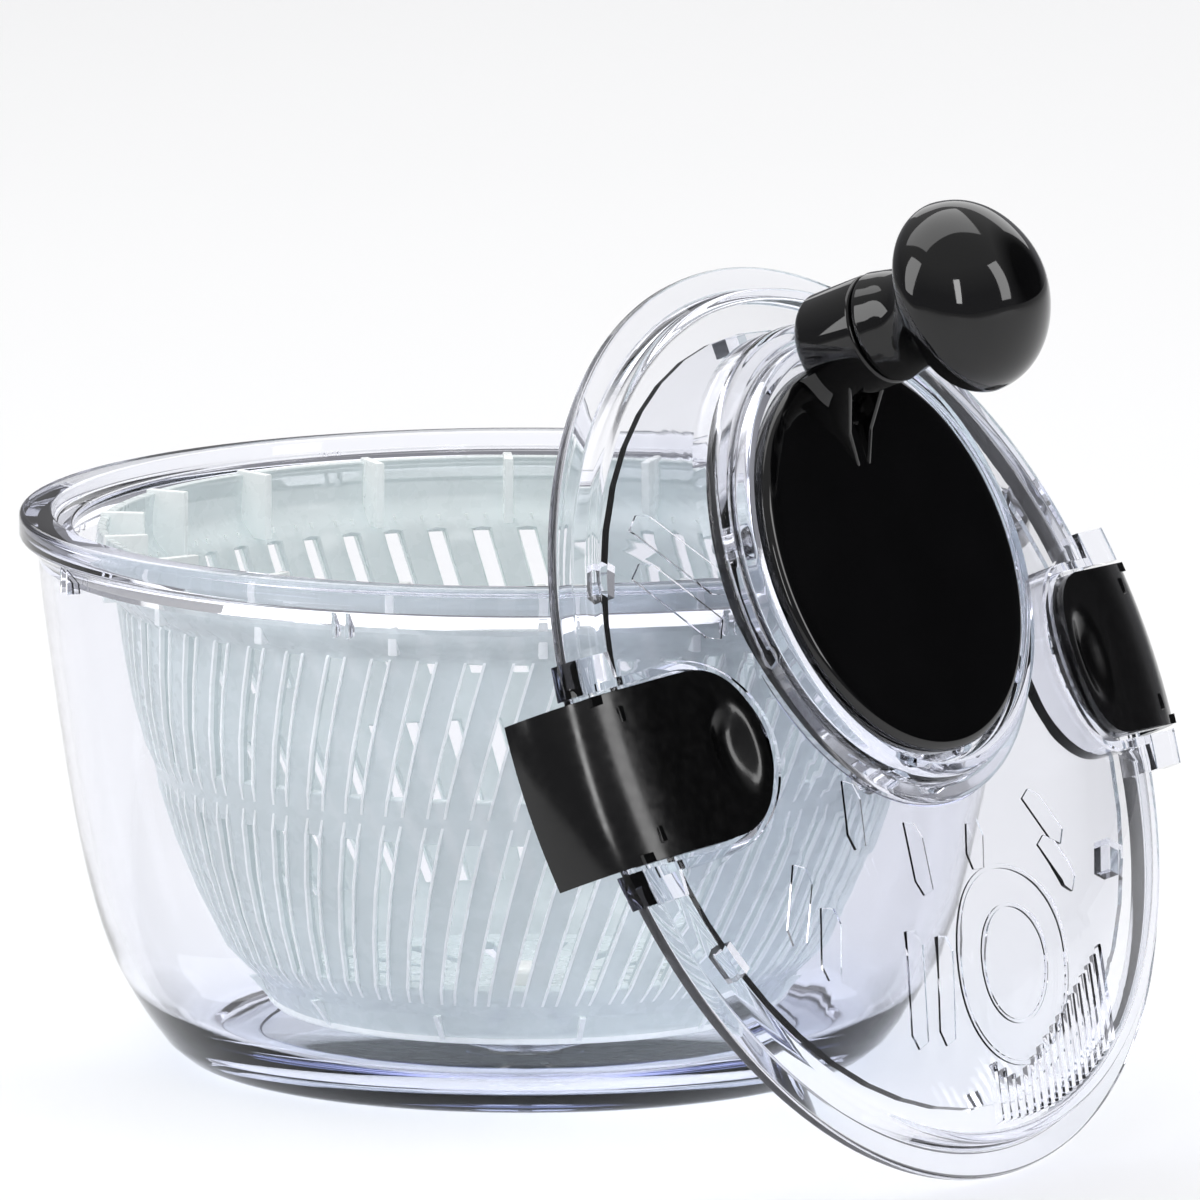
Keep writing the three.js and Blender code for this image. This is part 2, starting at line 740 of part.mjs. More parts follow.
// ---------------------------------------------------------------- latches
function latchBody() {
  const out = latchOuter;
  const skin = solid(turned([
    [56, 21.5],
    [112, 11.3],
    [115.6, 9.9],
    [118.4, 7.2],
    [out, 3],
    [out, latchHookLow],
    [115, latchHookLow],
    [114.7, -6.4],
    [out - 2.2, -4.2],
    [out - 2.2, 5],
    [111, 6.9],
    [56, 16],
  ], lidFacets));
  const hollow = solid(turned([
    [56, 19.3],
    [110, 9.5],
    [110, 0],
    [56, 0],
  ], lidFacets)).intersect(solid(prism(latchPlan(-2.2), -5, 30)));
  let body = cut(skin.intersect(solid(prism(latchPlan(0), -20, 40))), hollow);
  for (const side of [-1, 1]) {
    const y = side * 14;
    const lug = block(latchPinAt[0] - 2.8, latchPinAt[0] + 2.8, y - 2, y + 2, latchPinAt[1], 11);
    const eye = rod(2.8, -2, 2, 20).rotateX(Math.PI / 2).translate(latchPinAt[0], y, latchPinAt[1]);
    body = union(body, solid(lug), solid(eye));
  }
  const dent = new THREE.SphereGeometry(1, 20, 12).scale(5.4, 9.6, 2.2).rotateY(rad(10));
  const bore = rod(latchPinRadius + runGap, -18, 18, 16).rotateX(Math.PI / 2);
  return cut(
    body,
    solid(dent.translate(latchInner + 9, 0, 20.2)),
    solid(bore.translate(latchPinAt[0], 0, latchPinAt[1])),
  );
}

function latches() {
  const body = latchBody();
  const pin = solid(rod(latchPinRadius, -15.8, 15.8, 16).rotateX(Math.PI / 2)
    .translate(latchPinAt[0], 0, latchPinAt[1]));
  piece('latch_right', body, satinBlack(), onLid);
  piece('latch_left', body, satinBlack(), turnedOnLid);
  piece('latch_pin_right', pin, steel(), onLid);
  piece('latch_pin_left', pin, steel(), turnedOnLid);
}

bowl();
footRing();
pivotPin();
basket();
pivotCup();
lidShell();
gearCover();
coverScrews();
crankBush();
driveAxle();
pinion();
drivePlate();
crankDisc();
crankGear();
knob();
latches();

export default spinner;
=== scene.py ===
"""Looks of a salad spinner with a geared lid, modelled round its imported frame.

Pieces are drawn in millimetres in the frame of what they sit on, then placed in metres.
The lid's frame has X across the clips, Y up the lid and Z out of its top face.
"""

import json
import math

import bmesh
import bpy
from bpy.props import FloatProperty, FloatVectorProperty, IntProperty, PointerProperty
from bpy.types import Operator, Panel, PropertyGroup
from mathutils import Matrix, Vector


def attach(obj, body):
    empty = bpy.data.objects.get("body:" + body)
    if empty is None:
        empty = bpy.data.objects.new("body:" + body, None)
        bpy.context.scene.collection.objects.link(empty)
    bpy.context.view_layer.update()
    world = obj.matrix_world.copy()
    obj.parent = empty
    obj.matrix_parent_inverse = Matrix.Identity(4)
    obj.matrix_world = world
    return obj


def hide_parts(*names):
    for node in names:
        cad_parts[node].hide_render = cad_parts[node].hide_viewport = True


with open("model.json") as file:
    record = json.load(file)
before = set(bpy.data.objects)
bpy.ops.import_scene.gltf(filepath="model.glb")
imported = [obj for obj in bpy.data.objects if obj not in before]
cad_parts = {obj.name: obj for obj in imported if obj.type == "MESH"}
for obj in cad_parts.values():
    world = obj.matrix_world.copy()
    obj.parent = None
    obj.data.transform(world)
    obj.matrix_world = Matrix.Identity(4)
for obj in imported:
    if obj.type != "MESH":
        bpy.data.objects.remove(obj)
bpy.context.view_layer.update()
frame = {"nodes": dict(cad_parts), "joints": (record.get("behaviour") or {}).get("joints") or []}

bl_info = {
    "name": "Salad Spinner",
    "version": (1, 0, 0),
    "blender": (4, 5, 0),
    "location": "View3D > Sidebar > Spinner",
    "description": "Models the pieces of a crank-geared salad spinner on its frame",
    "category": "Object",
}

MM = 0.001
FULL = 2 * math.pi
JOINTS = {joint["name"]: joint for joint in frame["joints"]}

# Shapes that several pieces share, in millimetres.
SEAT_HEIGHT = 8  # of the drive joint's point above the lid rim's seat
WELL_RADIUS = 57
DOME_TOP = 19.1
DOME_STEP = (100.6, 8.4)  # radius and height where the dome meets the rim
COLLAR_RADIUS = 12.9
KNOB_JOINT = 42.3
LATCH_HALF = 19.5
LATCH_INNER = 64
PIN_AT = (101, 6.6)
WALL_ROWS = [
    (62.6, 19),
    (69.4, 27),
    (78.3, 46),
    (84.2, 63.5),
    (87.3, 74),
    (91.2, 89),
    (93.9, 107),
]
SLOT_ROWS = [(27, 63.5), (74, 107)]
SLOT_PITCH = 5  # columns of faces from slot to slot
SLOT_COLUMNS = 2
FLOOR_SLOT_PITCH = 15
FLOOR_SLOT_COLUMNS = 4
FLOOR_SLOT_REACH = (23, 52)
BASKET_FLOOR = 13.7


# ---------------------------------------------------------------- places
def lid_place():
    """The lid's own frame, in metres, from the joints on it."""
    out = Vector(JOINTS["lid_lift_off"]["axis"]).normalized()
    drive = Vector(JOINTS["drive_spin"]["pos_m"])
    crank = Vector(JOINTS["crank_spin"]["pos_m"])
    up = (crank - drive) - (crank - drive).dot(out) * out
    up.normalize()
    across = up.cross(out)
    centre = drive - out * SEAT_HEIGHT * MM
    place = Matrix((across, up, out)).transposed().to_4x4()
    place.translation = centre
    return place


ON_LID = lid_place()
GEAR_SPACING = (ON_LID.inverted() @ Vector(JOINTS["crank_spin"]["pos_m"])).y / MM
KNOB_AT = (ON_LID.inverted() @ Vector(JOINTS["knob_spin"]["pos_m"])).y / MM
ON_BENCH = Matrix.Identity(4)


def sizes():
    return bpy.context.scene.spinner_sizes


def colours():
    return bpy.context.scene.spinner_colours


# ---------------------------------------------------------------- bmesh helpers
def flow(points, cuts):
    """Points on a smooth curve through the given ones, which it keeps."""
    made = []
    for i in range(len(points) - 1):
        a = Vector(points[max(i - 1, 0)])
        b, c = Vector(points[i]), Vector(points[i + 1])
        d = Vector(points[min(i + 2, len(points) - 1)])
        for k in range(cuts):
            t = k / cuts
            p = 2 * b + (c - a) * t + (2 * a - 5 * b + 4 * c - d) * t**2
            made.append(tuple((p + (3 * b - a - 3 * c + d) * t**3) / 2))
    made.append(tuple(points[-1]))
    return made


def turned(outline, steps, about=(0, 0)):
    """A solid turned about a vertical axis, from points (radius, height) or (radius, height, rounding)."""
    bm = bmesh.new()
    verts = [bm.verts.new((p[0], 0, p[1])) for p in outline]
    for a, b in zip(verts, verts[1:]):
        bm.edges.new((a, b))
    if outline[0][0] > 0 or outline[-1][0] > 0:
        bm.edges.new((verts[-1], verts[0]))
    rounds = [p[2] if len(p) > 2 else 0 for p in outline]
    for size in sorted(set(rounds) - {0}):
        corners = [v for v, r in zip(verts, rounds) if r == size]
        bmesh.ops.bevel(bm, geom=corners, offset=size, offset_type="OFFSET", affect="VERTICES",
                        segments=4 if size > 0.35 else 2, profile=0.5, material=-1)
    bmesh.ops.spin(bm, geom=bm.verts[:] + bm.edges[:], cent=(0, 0, 0), axis=(0, 0, 1),
                   angle=FULL, steps=steps, use_merge=True)
    bmesh.ops.remove_doubles(bm, verts=bm.verts, dist=1e-4)
    bmesh.ops.dissolve_degenerate(bm, edges=bm.edges, dist=1e-5)
    bmesh.ops.recalc_face_normals(bm, faces=bm.faces)
    bmesh.ops.translate(bm, verts=bm.verts, vec=(about[0], about[1], 0))
    return bm


def rod(radius, low, high, at=(0, 0), steps=32):
    bm = bmesh.new()
    bmesh.ops.create_cone(bm, cap_ends=True, segments=steps, radius1=radius, radius2=radius,
                          depth=high - low)
    bmesh.ops.translate(bm, verts=bm.verts, vec=(at[0], at[1], (low + high) / 2))
    return bm


def block(x, y, z, rounding=0.0):
    """A box between pairs of limits, with its edges rounded."""
    bm = bmesh.new()
    bmesh.ops.create_cube(bm, size=1)
    size = (x[1] - x[0], y[1] - y[0], z[1] - z[0])
    bmesh.ops.scale(bm, verts=bm.verts, vec=size)
    bmesh.ops.translate(bm, verts=bm.verts, vec=((x[0] + x[1]) / 2, (y[0] + y[1]) / 2, (z[0] + z[1]) / 2))
    if rounding:
        bmesh.ops.bevel(bm, geom=bm.edges[:], offset=rounding, offset_type="OFFSET", affect="EDGES",
                        segments=2, profile=0.5, material=-1)
    return bm


def plate(points, low, high):
    """A flat outline raised into a solid."""
    bm = bmesh.new()
    face = bm.faces.new([bm.verts.new((x, y, low)) for x, y in points])
    made = bmesh.ops.extrude_face_region(bm, geom=[face])
    raised = [v for v in made["geom"] if isinstance(v, bmesh.types.BMVert)]
    bmesh.ops.translate(bm, verts=raised, vec=(0, 0, high - low))
    bmesh.ops.recalc_face_normals(bm, faces=bm.faces)
    return bm


def turn(bm, angle, axis="Z", about=(0, 0, 0)):
    bmesh.ops.rotate(bm, verts=bm.verts, cent=about, matrix=Matrix.Rotation(angle, 3, axis))
    return bm


def copied(bm, matrix):
    """A moved copy, turned the right way out again if the move mirrors it."""
    made = bm.copy()
    bmesh.ops.transform(made, matrix=matrix, verts=made.verts)
    if matrix.is_negative:
        bmesh.ops.reverse_faces(made, faces=made.faces)
    return made


def together(*parts):
    """One bmesh that holds the others as loose shells."""
    bm = bmesh.new()
    for part in parts:
        mesh = bpy.data.meshes.new("part")
        part.to_mesh(mesh)
        bm.from_mesh(mesh)
        bpy.data.meshes.remove(mesh)
        part.free()
    return bm


def scratch_object(bm):
    mesh = bpy.data.meshes.new("scratch")
    bm.to_mesh(mesh)
    bm.free()
    obj = bpy.data.objects.new("scratch", mesh)
    bpy.context.scene.collection.objects.link(obj)
    return obj


def drop(obj):
    mesh = obj.data
    bpy.data.objects.remove(obj)
    bpy.data.meshes.remove(mesh)


def combine(base, *steps):
    """Joins, cuts or crosses solids in order. Each step is (UNION | DIFFERENCE | INTERSECT, solid)."""
    obj = scratch_object(base)
    tools = [scratch_object(tool) for _, tool in steps]
    for (how, _), tool in zip(steps, tools):
        modifier = obj.modifiers.new(how, "BOOLEAN")
        modifier.operation = how
        modifier.solver = "MANIFOLD"
        modifier.object = tool
    depsgraph = bpy.context.evaluated_depsgraph_get()
    mesh = bpy.data.meshes.new_from_object(obj.evaluated_get(depsgraph))
    bm = bmesh.new()
    bm.from_mesh(mesh)
    bpy.data.meshes.remove(mesh)
    for used in [obj, *tools]:
        drop(used)
    if not bm.faces:
        bm.free()
        raise RuntimeError("a Boolean left nothing")
    bmesh.ops.remove_doubles(bm, verts=bm.verts, dist=1e-4)
    bmesh.ops.dissolve_degenerate(bm, edges=bm.edges, dist=1e-4)
    return bm


def show(name, bm, material, body, stands_for=(), place=ON_BENCH, sharp=32):
    """Makes a finished piece from a bmesh drawn in millimetres."""
    bmesh.ops.transform(bm, matrix=place @ Matrix.Scale(MM, 4), verts=bm.verts)
    for face in bm.faces:
        face.smooth = True
    limit = math.radians(sharp)
    for edge in bm.edges:
        edge.smooth = len(edge.link_faces) == 2 and edge.calc_face_angle(0) < limit
    mesh = bpy.data.meshes.new(name)
    bm.to_mesh(mesh)
    bm.free()
    mesh.materials.append(material)
    obj = bpy.data.objects.new(name, mesh)
    bpy.context.scene.collection.objects.link(obj)
    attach(obj, body)
    if stands_for:
        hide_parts(*stands_for)
    return obj


def round_edges(obj, width_mm, angle=40, segments=2):
    modifier = obj.modifiers.new("edges", "BEVEL")
    modifier.width = width_mm * MM
    modifier.segments = segments
    modifier.limit_method = "ANGLE"
    modifier.angle_limit = math.radians(angle)
    return obj


# ---------------------------------------------------------------- materials
class Mix:
    """A node tree under construction."""

    def __init__(self, name):
        self.material = bpy.data.materials.new(name)
        self.material.use_nodes = True
        self.tree = self.material.node_tree
        self.tree.nodes.clear()
        self.output = self.node("ShaderNodeOutputMaterial")

    def node(self, kind, **inputs):
        made = self.tree.nodes.new(kind)
        for key, value in inputs.items():
            made.inputs[key.replace("_", " ")].default_value = value
        return made

    def link(self, a, b):
        self.tree.links.new(a, b)

    def noise(self, scale, detail=3.0, stretch=(1, 1, 1)):
        coordinates = self.node("ShaderNodeTexCoord")
        mapping = self.node("ShaderNodeMapping", Scale=stretch)
        noise = self.node("ShaderNodeTexNoise", Scale=scale, Detail=detail)
        self.link(coordinates.outputs["Object"], mapping.inputs["Vector"])
        self.link(mapping.outputs["Vector"], noise.inputs["Vector"])
        return noise.outputs["Fac"]

    def between(self, value, low, high):
        """value from 0 to 1, stretched to lie between low and high."""
        scale = self.node("ShaderNodeMapRange")
        scale.inputs["From Min"].default_value = 0.3
        scale.inputs["From Max"].default_value = 0.7
        scale.inputs["To Min"].default_value = low
        scale.inputs["To Max"].default_value = high
        self.link(value, scale.inputs["Value"])
        return scale.outputs["Result"]

    def shades(self, value, dark, light):
        ramp = self.node("ShaderNodeValToRGB")
        ramp.color_ramp.elements[0].position = 0.3
        ramp.color_ramp.elements[1].position = 0.7
        ramp.color_ramp.elements[0].color = (*dark, 1)
        ramp.color_ramp.elements[1].color = (*light, 1)
        self.link(value, ramp.inputs["Fac"])
        return ramp.outputs["Color"]

    def surface(self, body, shadow_tint):
        """Shows the body, and lets light through it to what it would shade."""
        pane = self.node("ShaderNodeBsdfTransparent", Color=shadow_tint)
        path = self.node("ShaderNodeLightPath")
        either = self.node("ShaderNodeMixShader")
        self.link(path.outputs["Is Shadow Ray"], either.inputs["Fac"])
        self.link(body.outputs["BSDF"], either.inputs[1])
        self.link(pane.outputs["BSDF"], either.inputs[2])
        self.link(either.outputs["Shader"], self.output.inputs["Surface"])

    def bump(self, height, strength, distance):
        bump = self.node("ShaderNodeBump", Strength=strength, Distance=distance)
        self.link(height, bump.inputs["Height"])
        return bump.outputs["Normal"]


def shade(colour, factor):
    return tuple(min(1.0, channel * factor) for channel in colour[:3])


def clear_plastic(name, bend, waviness):
    """Water-clear moulded plastic with faint flow waves and a blue cast through long edges."""
    m = Mix(name)
    waves = m.noise(26, 1.5)
    glass = m.node("ShaderNodeBsdfPrincipled", IOR=bend)
    glass.inputs["Base Color"].default_value = (*colours().clear[:3], 1)
    glass.inputs["Transmission Weight"].default_value = 1.0
    m.link(m.between(m.noise(140, 4), 0.0, 0.035), glass.inputs["Roughness"])
    m.link(m.bump(waves, waviness, 0.002), glass.inputs["Normal"])
    m.surface(glass, (0.982, 0.984, 0.99, 1))
    depth = m.node("ShaderNodeVolumeAbsorption", Density=colours().edge_depth)
    depth.inputs["Color"].default_value = (*colours().edge_tint[:3], 1)
    m.link(depth.outputs["Volume"], m.output.inputs["Volume"])
    return m.material


def milky_plastic(name, tint, thin, thick):
    """Translucent milk-white plastic: thin faces let the view through, edges gather light."""
    m = Mix(name)
    cloud = m.noise(38, 5)
    body = m.node("ShaderNodeBsdfPrincipled", IOR=1.5)
    m.link(m.shades(cloud, shade(tint, 0.93), shade(tint, 1.06)), body.inputs["Base Color"])
    m.link(m.between(m.noise(210, 4), 0.2, 0.36), body.inputs["Roughness"])
    m.link(m.bump(m.noise(300, 3), 0.06, 0.0006), body.inputs["Normal"])
    facing = m.node("ShaderNodeLayerWeight", Blend=0.42)
    m.link(m.between(facing.outputs["Facing"], thin, thick), body.inputs["Alpha"])
    m.surface(body, (0.86, 0.88, 0.88, 1))
    return m.material


def black_plastic(name, tint, low, high, scale, lift):
    """Moulded black plastic, from mirror gloss to satin."""
    m = Mix(name)
    body = m.node("ShaderNodeBsdfPrincipled", IOR=1.5)
    m.link(m.shades(m.noise(60, 4), shade(tint, 0.8), shade(tint, 1.25)), body.inputs["Base Color"])
    m.link(m.between(m.noise(scale, 3), low, high), body.inputs["Roughness"])
    m.link(m.bump(m.noise(scale, 1), lift, 0.0001), body.inputs["Normal"])
    body.inputs["Specular IOR Level"].default_value = 0.5
    m.link(body.outputs["BSDF"], m.output.inputs["Surface"])
    return m.material


def plain_plastic(name, tint, low, high):
    """Natural white plastic or rubber with a faint mottle."""
    m = Mix(name)
    body = m.node("ShaderNodeBsdfPrincipled", IOR=1.48)
    m.link(m.shades(m.noise(90, 4), shade(tint, 0.94), shade(tint, 1.04)), body.inputs["Base Color"])
    m.link(m.between(m.noise(260, 5), low, high), body.inputs["Roughness"])
    m.link(m.bump(m.noise(420, 3), 0.1, 0.0003), body.inputs["Normal"])
    m.link(body.outputs["BSDF"], m.output.inputs["Surface"])
    return m.material


def soft_band(name, tint):
    """Pale soft band that lets light through to the floor under it."""
    m = Mix(name)
    body = m.node("ShaderNodeBsdfPrincipled", IOR=1.45)
    m.link(m.shades(m.noise(90, 4), shade(tint, 0.95), shade(tint, 1.03)), body.inputs["Base Color"])
    m.link(m.between(m.noise(260, 5), 0.45, 0.65), body.inputs["Roughness"])
    m.surface(body, (0.85, 0.86, 0.9, 1))
    return m.material


def turned_steel(name):
    """Bright stainless steel with fine lathe marks."""
    m = Mix(name)
    body = m.node("ShaderNodeBsdfPrincipled", Metallic=1.0)
    tint = colours().steel[:3]
    lines = m.noise(900, 2, (1, 1, 6))
    m.link(m.shades(lines, shade(tint, 0.85), shade(tint, 1.1)), body.inputs["Base Color"])
    m.link(m.between(lines, 0.18, 0.34), body.inputs["Roughness"])
    m.link(m.bump(lines, 0.15, 0.0002), body.inputs["Normal"])
    m.link(body.outputs["BSDF"], m.output.inputs["Surface"])
    return m.material


def finish_of(name):
    """The material of that finish, made the first time it is asked for."""
    made_name = f"{name}_finish"
    found = bpy.data.materials.get(made_name)
    if found:
        return found
    tints = colours()
    makers = {
        "clear_bowl": lambda: clear_plastic("clear_bowl", 1.33, 0.04),
        "clear_lid": lambda: clear_plastic("clear_lid", 1.28, 0.02),
        "milky": lambda: milky_plastic("milky", tints.milky[:3], 0.64, 0.95),
        # a whiter, more opaque copy of the basket plastic: painted highlight that makes the slot edges look
        # lit
        "milky_painted_light": lambda: milky_plastic("milky_painted_light", tints.milky_painted_light[:3], 0.86, 0.98),
        "gloss_black": lambda: black_plastic("gloss_black", tints.gloss[:3], 0.03, 0.07, 180, 0.02),
        "satin_black": lambda: black_plastic("satin_black", tints.satin[:3], 0.12, 0.2, 420, 0.05),
        "white_acetal": lambda: plain_plastic("white_acetal", tints.acetal[:3], 0.3, 0.45),
        "soft_ring": lambda: soft_band("soft_ring", tints.ring[:3]),
        "steel": lambda: turned_steel("steel"),
    }
    material = makers[name]()
    material.name = made_name
    return material


# ---------------------------------------------------------------- bowl
def bowl_outline():
    wall_out = flow([(83.5, 4.6), (89.5, 13), (95.8, 24.6), (101, 41), (105.9, 66), (111.2, 104),
                     (112.6, 118)], 5)
    wall_in = flow([(109.9, 116.5), (108.6, 104), (103.3, 66), (98.4, 42), (93.2, 26.4), (86.8, 15),
                    (78.5, 7.6)], 5)
    return [
        (0, 0),
        (62, 0, 0.4),
        (62, 2.7),
        (72, 2.7),
        (72, 0, 0.4),
        (78, 0, 2.4),
        *wall_out,
        (115.2, 121.2, 0.8),
        (117, 122.4, 0.6),
        (117, 128, 1.3),
        (109.3, 128, 0.7),
        (108.4, 125, 0.5),
        (104.5, 125, 0.6),
        (104.5, 122.6, 0.8),
        *wall_in,
        (68, 5, 3.0),
        (14, 5, 2.0),
        (8, 8.6, 1.0),
        (5, 9.6, 0.5),
        (2.05, 9.6, 0.2),
        (2.05, 4),
        (0, 4),
    ]


def build_bowl():
    bowl = turned(bowl_outline(), sizes().turn_steps)
    ribs = []
    for i in range(8):
        for side in (-1.7, 1.7):
            rib = block((110.6, 115.6), (side - 0.55, side + 0.55), (115.6, 122.6), 0.25)
            ribs.append(turn(rib, math.radians(24 + 45 * i)))
    bowl = combine(bowl, ("UNION", together(*ribs)))
    show("clear_bowl", bowl, finish_of("clear_bowl"), "bowl", ["bowl"])


def build_bowl_fittings():
    ring = turned([(62.3, 0, 0.5), (71.7, 0, 0.5), (71.7, 2.4, 0.4), (62.3, 2.4, 0.4)], 144)
    show("foot_band", ring, finish_of("soft_ring"), "bowl", ["foot_ring"])
    pin = turned([(0, 4.3), (1.75, 4.3, 0.2), (1.75, 16, 0.2), (1.05, 16.7, 0.2), (0, 17)], 48)
    show("centre_pin", pin, finish_of("steel"), "bowl", ["pivot_pin"])


# ---------------------------------------------------------------- basket
def lean_at(height):
    return sizes().slot_lean * max(height - BASKET_FLOOR, 0)


def wall_radius(height):
    """Outside radius of the basket wall at a height."""
    rows = flow(WALL_ROWS, 6)
    for (r0, z0), (r1, z1) in zip(rows, rows[1:]):
        if z0 <= height <= z1:
            return r0 + (r1 - r0) * (height - z0) / (z1 - z0)
    return rows[-1][0] if height > rows[-1][1] else rows[0][0]


def basket_skin(slots):
    """The basket's outer skin with its slots open, ready for a wall thickness."""
    columns = slots * SLOT_PITCH
    outline = [(6.3, BASKET_FLOOR), (23, BASKET_FLOOR), (38, BASKET_FLOOR), (52, BASKET_FLOOR),
               (58.2, BASKET_FLOOR), (60.2, 14.4), (61.6, 16.4)]
    outline += flow(WALL_ROWS, 4)
    outline += [(95.2, 108.6), (97.2, 110.4), (98.6, 112.2), (99.3, 113.6), (99.6, 115.4),
                (99.4, 120), (98.8, 124.3)]
    bm = bmesh.new()
    verts = [bm.verts.new((r, 0, z)) for r, z in outline]
    for a, b in zip(verts, verts[1:]):
        bm.edges.new((a, b))
    bmesh.ops.spin(bm, geom=bm.verts[:] + bm.edges[:], cent=(0, 0, 0), axis=(0, 0, 1),
                   angle=FULL, steps=columns, use_merge=True)
    bmesh.ops.remove_doubles(bm, verts=bm.verts, dist=1e-4)
    holes = []
    for face in bm.faces:
        middle = face.calc_center_median()
        column = int((math.atan2(middle.y, middle.x) % FULL) / FULL * columns)
        in_wall = any(low < middle.z < high for low, high in SLOT_ROWS)
        radius = math.hypot(middle.x, middle.y)
        on_floor = middle.z < BASKET_FLOOR + 0.01
        on_floor = on_floor and FLOOR_SLOT_REACH[0] < radius < FLOOR_SLOT_REACH[1]
        wall_slot = in_wall and column % SLOT_PITCH < SLOT_COLUMNS
        floor_slot = on_floor and column % FLOOR_SLOT_PITCH < FLOOR_SLOT_COLUMNS
        if wall_slot or floor_slot:
            holes.append(face)
    bmesh.ops.delete(bm, geom=holes, context="FACES")
    half_slot = FULL / columns
    for v in bm.verts:
        spin = Matrix.Rotation(lean_at(v.co.z) - half_slot, 3, "Z")
        v.co = spin @ v.co
    bmesh.ops.recalc_face_normals(bm, faces=bm.faces)
    outward = sum(f.normal.xy.dot(f.calc_center_median().xy) for f in bm.faces)
    if outward < 0:
        bmesh.ops.reverse_faces(bm, faces=bm.faces)
    return bm


def slot_fin(low, high, stand, width):
    """A thin fin down one edge of a slot, running out past both ends of it."""
    bm = bmesh.new()
    run_out = 4.2
    stations = [low - run_out, low - 1.6, low, (2 * low + high) / 3,
                (low + 2 * high) / 3, high, high + 1.6, high + run_out]
    rises = [0.02, 0.6, 1, 1, 1, 1, 0.6, 0.02]

    def section(z, rise):
        r = wall_radius(z)
        outer = r + stand * rise
        inner, half = r - 0.3, width / 2
        return [(inner, -half, z), (outer, -half, z), (outer, half, z), (inner, half, z)]

    def settle(verts, z, rise):
        for v, place in zip(verts, section(z, rise)):
            v.co = Matrix.Rotation(lean_at(z), 3, "Z") @ Vector(place)

    ends = [bm.verts.new((0, 0, 0)) for _ in range(4)]
    face = bm.faces.new(ends)
    settle(ends, stations[0], rises[0])
    for z, rise in zip(stations[1:], rises[1:]):
        made = bmesh.ops.extrude_face_region(bm, geom=[face])
        face = next(g for g in made["geom"] if isinstance(g, bmesh.types.BMFace))
        settle(list(face.verts), z, rise)
    bmesh.ops.recalc_face_normals(bm, faces=bm.faces)
    return bm


def build_basket():
    values = sizes()
    slots = values.slot_count
    skin = basket_skin(slots)
    basket = show("milky_basket", skin, finish_of("milky"), "basket", ["basket"])
    wall = basket.modifiers.new("wall", "SOLIDIFY")
    wall.thickness = values.basket_wall
    wall.offset = -1
    wall.use_even_offset = True
    round_edges(basket, 0.32, 50)
    fins = []
    half_slot = FULL / slots / SLOT_PITCH
    for low, high in SLOT_ROWS:
        one = slot_fin(low, high, 0.75, 0.65)
        for i in range(slots):
            for side in (-1, 1):
                angle = FULL * i / slots + side * half_slot
                fins.append(copied(one, Matrix.Rotation(angle, 4, "Z")))
        one.free()
    # the slot fins, drive bars and foot wear the whiter copy of the basket plastic, a painted highlight
    # along the slot edges
    show("slot_fins", together(*fins), finish_of("milky_painted_light"), "basket")
    bars = []
    for i in range(18):
        bar = block((89, 99.2), (-1.1, 1.1), (109.4, 124.9), 0.35)
        bars.append(turn(bar, math.radians(2.6 - 90 + 20 * i)))
    show("drive_bars", together(*bars), finish_of("milky_painted_light"), "basket")
    gussets = []
    for i in range(12):
        web = plate([(60, 0), (65.5, 6.4), (60, 6.4)], -0.6, 0.6)
        turn(web, math.pi / 2, "X")
        bmesh.ops.translate(web, verts=web.verts, vec=(0, 0, 13.4))
        gussets.append(turn(web, FULL * (i + 0.4) / 12))
    foot = turned([(57.6, 12.9, 0.3), (60.2, 12.9, 0.4), (60.2, 14.6, 0.3), (57.6, 14.6, 0.3)], 144)
    show("basket_foot", together(foot, *gussets), finish_of("milky_painted_light"), "basket")
    cup = turned([(0, 17.3), (2.05, 17.3), (2.05, 12, 0.3), (8.6, 12, 0.4), (8.6, 13.4, 0.3), (6, 13.4),
                  (6, 19, 0.6), (5, 20, 0.5), (0, 20)], 64)
    show("centre_cup", cup, finish_of("white_acetal"), "basket", ["pivot_cup"])


# ---------------------------------------------------------------- lid
def dome_height(radius):
    fall = (DOME_TOP - DOME_STEP[1]) / (DOME_STEP[0] - WELL_RADIUS)
    return DOME_TOP - fall * (max(radius, WELL_RADIUS) - WELL_RADIUS)


def clip_plan(grow, end_room):
    """Outline of a clip seen from above, grown by a margin."""
    half = LATCH_HALF + grow
    centre = LATCH_INNER - grow - end_room + half
    arc = [(centre - half * math.sin(FULL * i / 96), half * math.cos(FULL * i / 96)) for i in range(49)]
    return [(130, half), *arc, (130, -half)]


def pocket_solids():
    end = LATCH_INNER - 5
    floor = [(end, 8.4), (92, 5.9, 1.5), (97, 3.4, 1.0)]
    tub_outline = [(r, h - 2, *rest) for r, h, *rest in floor]
    tub_outline += [(100.2, 1.2), (101, 3.4), (114.5, 3.4, 0.5), (114.5, 6.6, 0.8), (111.5, 9.2, 0.8),
                    (100, dome_height(100) + 1.2, 0.8), (end, dome_height(end) + 0.8)]
    plan = plate(clip_plan(3, 1.8), -5, 30)
    shoulder = block((96.6, 130), (-28.5, 28.5), (-5, 30))
    steps = sizes().turn_steps
    tub = combine(turned(tub_outline, steps), ("INTERSECT", combine(plan, ("UNION", shoulder))))
    hollow_outline = [*floor, (123.8, 3.4), (123.8, 30), (end, 30)]
    hollow = combine(turned(hollow_outline, steps), ("INTERSECT", plate(clip_plan(1, 1.8), -5, 40)))
    return tub, hollow


def both_sides(bm):
    """The solid and its copy on the lid's other side, as one."""
    return together(copied(bm, Matrix.Rotation(math.pi, 4, "Z")), bm)


